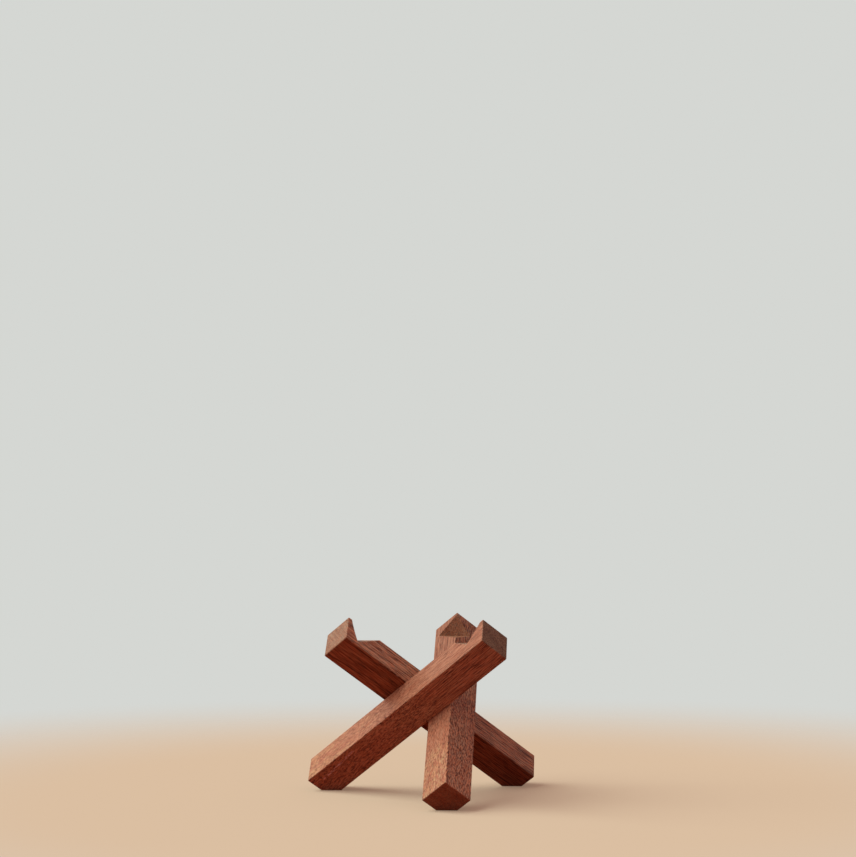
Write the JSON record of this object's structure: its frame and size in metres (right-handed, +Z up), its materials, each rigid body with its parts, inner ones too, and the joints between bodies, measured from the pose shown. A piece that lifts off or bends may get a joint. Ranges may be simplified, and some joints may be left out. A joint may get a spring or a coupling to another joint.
{
  "type": "plant stand",
  "caption": "Twisted tripod stand of crossed square wooden bars with a round recessed seat between upright prongs and level-cut feet.",
  "frame": {"origin": "on the floor, on the stand's upright axis, midway between the three feet", "axes": "+Z up along the axis of the threefold turn; -Y towards the viewer of the picture, so +X is the viewer's right"},
  "size_m": [0.2683, 0.2726, 0.2054],
  "materials": {
    "leg_wood": "oiled satin reddish-brown hardwood with fine open pores",
    "dowel_wood": "raw pale hardwood, turned smooth"
  },
  "bodies": {
    "root": {"leg_right": "leg_wood", "leg_back": "leg_wood", "leg_left": "leg_wood", "dowel_right_back_1": "dowel_wood", "dowel_right_back_2": "dowel_wood", "dowel_back_left_1": "dowel_wood", "dowel_back_left_2": "dowel_wood", "dowel_left_right_1": "dowel_wood", "dowel_left_right_2": "dowel_wood"}
  },
  "joints": []
}
